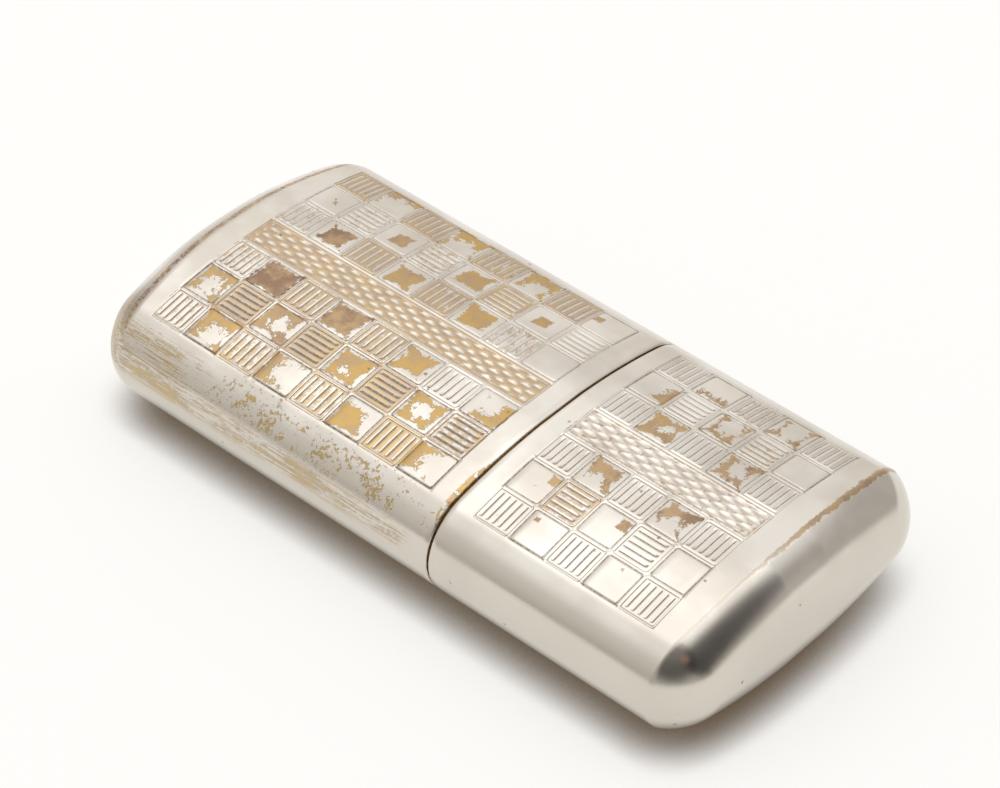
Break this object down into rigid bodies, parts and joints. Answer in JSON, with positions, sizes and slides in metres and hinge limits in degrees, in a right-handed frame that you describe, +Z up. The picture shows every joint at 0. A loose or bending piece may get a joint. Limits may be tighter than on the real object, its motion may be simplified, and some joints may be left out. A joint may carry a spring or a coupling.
{
  "type": "petrol lighter",
  "caption": "Flat pocket petrol lighter with a pull-off cap, checker and barleycorn engine turning, and a wheel, flint and wick under the cap.",
  "frame": {"origin": "under the middle of the lighter, on the surface that it lies on", "axes": "+X along the length towards the cap's end, +Y across the width, +Z up through the thickness"},
  "size_m": [0.0604, 0.0292, 0.0112],
  "materials": {
    "plated_case": "nickel plate, engine-turned and worn through to brass",
    "bare_brass": "bare turned and sheet brass, dulled",
    "hard_steel": "hardened steel, file-cut and bright",
    "flint": "dull grey ferrocerium",
    "cotton": "cotton, slightly yellowed",
    "leather": "oiled leather"
  },
  "bodies": {
    "body": {"body_case": "plated_case", "neck_collar": "bare_brass", "deck_plate": "bare_brass", "bracket_upper": "bare_brass", "bracket_lower": "bare_brass", "wheel_axle": "hard_steel", "flint_tube": "bare_brass", "flint_bush": "bare_brass", "filler_bush": "bare_brass", "wick_tube": "bare_brass", "wick": "cotton", "wadding": "cotton"},
    "cap": {"cap_shell": "plated_case"},
    "wheel": {"wheel_hub": "bare_brass", "striker_wheel": "hard_steel", "thumb_disc_upper": "bare_brass", "thumb_disc_lower": "bare_brass"},
    "flint_slug": {"flint": "flint", "flint_follower": "bare_brass"},
    "flint_spring_seat": {"flint_spring": "hard_steel"},
    "flint_plug": {"flint_screw": "bare_brass"},
    "filler_seal": {"filler_washer": "leather"},
    "filler_plug": {"filler_screw": "bare_brass"}
  },
  "joints": [
    {"name": "cap_pull", "type": "slide", "parent": "body", "child": "cap", "axis": [1, 0, 0], "range_m": [0, 0.03]},
    {"name": "wheel_spin", "type": "hinge", "parent": "body", "child": "wheel", "pos_m": [0.01765, -0.0046, 0.0056], "axis": [0, 0, 1], "continuous": true},
    {"name": "flint_feed", "type": "slide", "parent": "body", "child": "flint_slug", "axis": [1, 0, 0], "range_m": [-0.0015, 0], "stiffness_N_per_m": 60, "springref_m": 0.01, "deforming": ["flint_spring"]},
    {"name": "flint_screw_travel", "type": "slide", "parent": "body", "child": "flint_spring_seat", "axis": [-1, 0, 0], "range_m": [0, 0.003]},
    {"name": "flint_screw_turn", "type": "hinge", "parent": "flint_spring_seat", "child": "flint_plug", "pos_m": [-0.029, -0.0046, 0.0056], "axis": [-1, 0, 0], "continuous": true},
    {"name": "filler_screw_travel", "type": "slide", "parent": "body", "child": "filler_seal", "axis": [-1, 0, 0], "range_m": [0, 0.003]},
    {"name": "filler_screw_turn", "type": "hinge", "parent": "filler_seal", "child": "filler_plug", "pos_m": [-0.029, 0.005, 0.0056], "axis": [-1, 0, 0], "continuous": true}
  ]
}
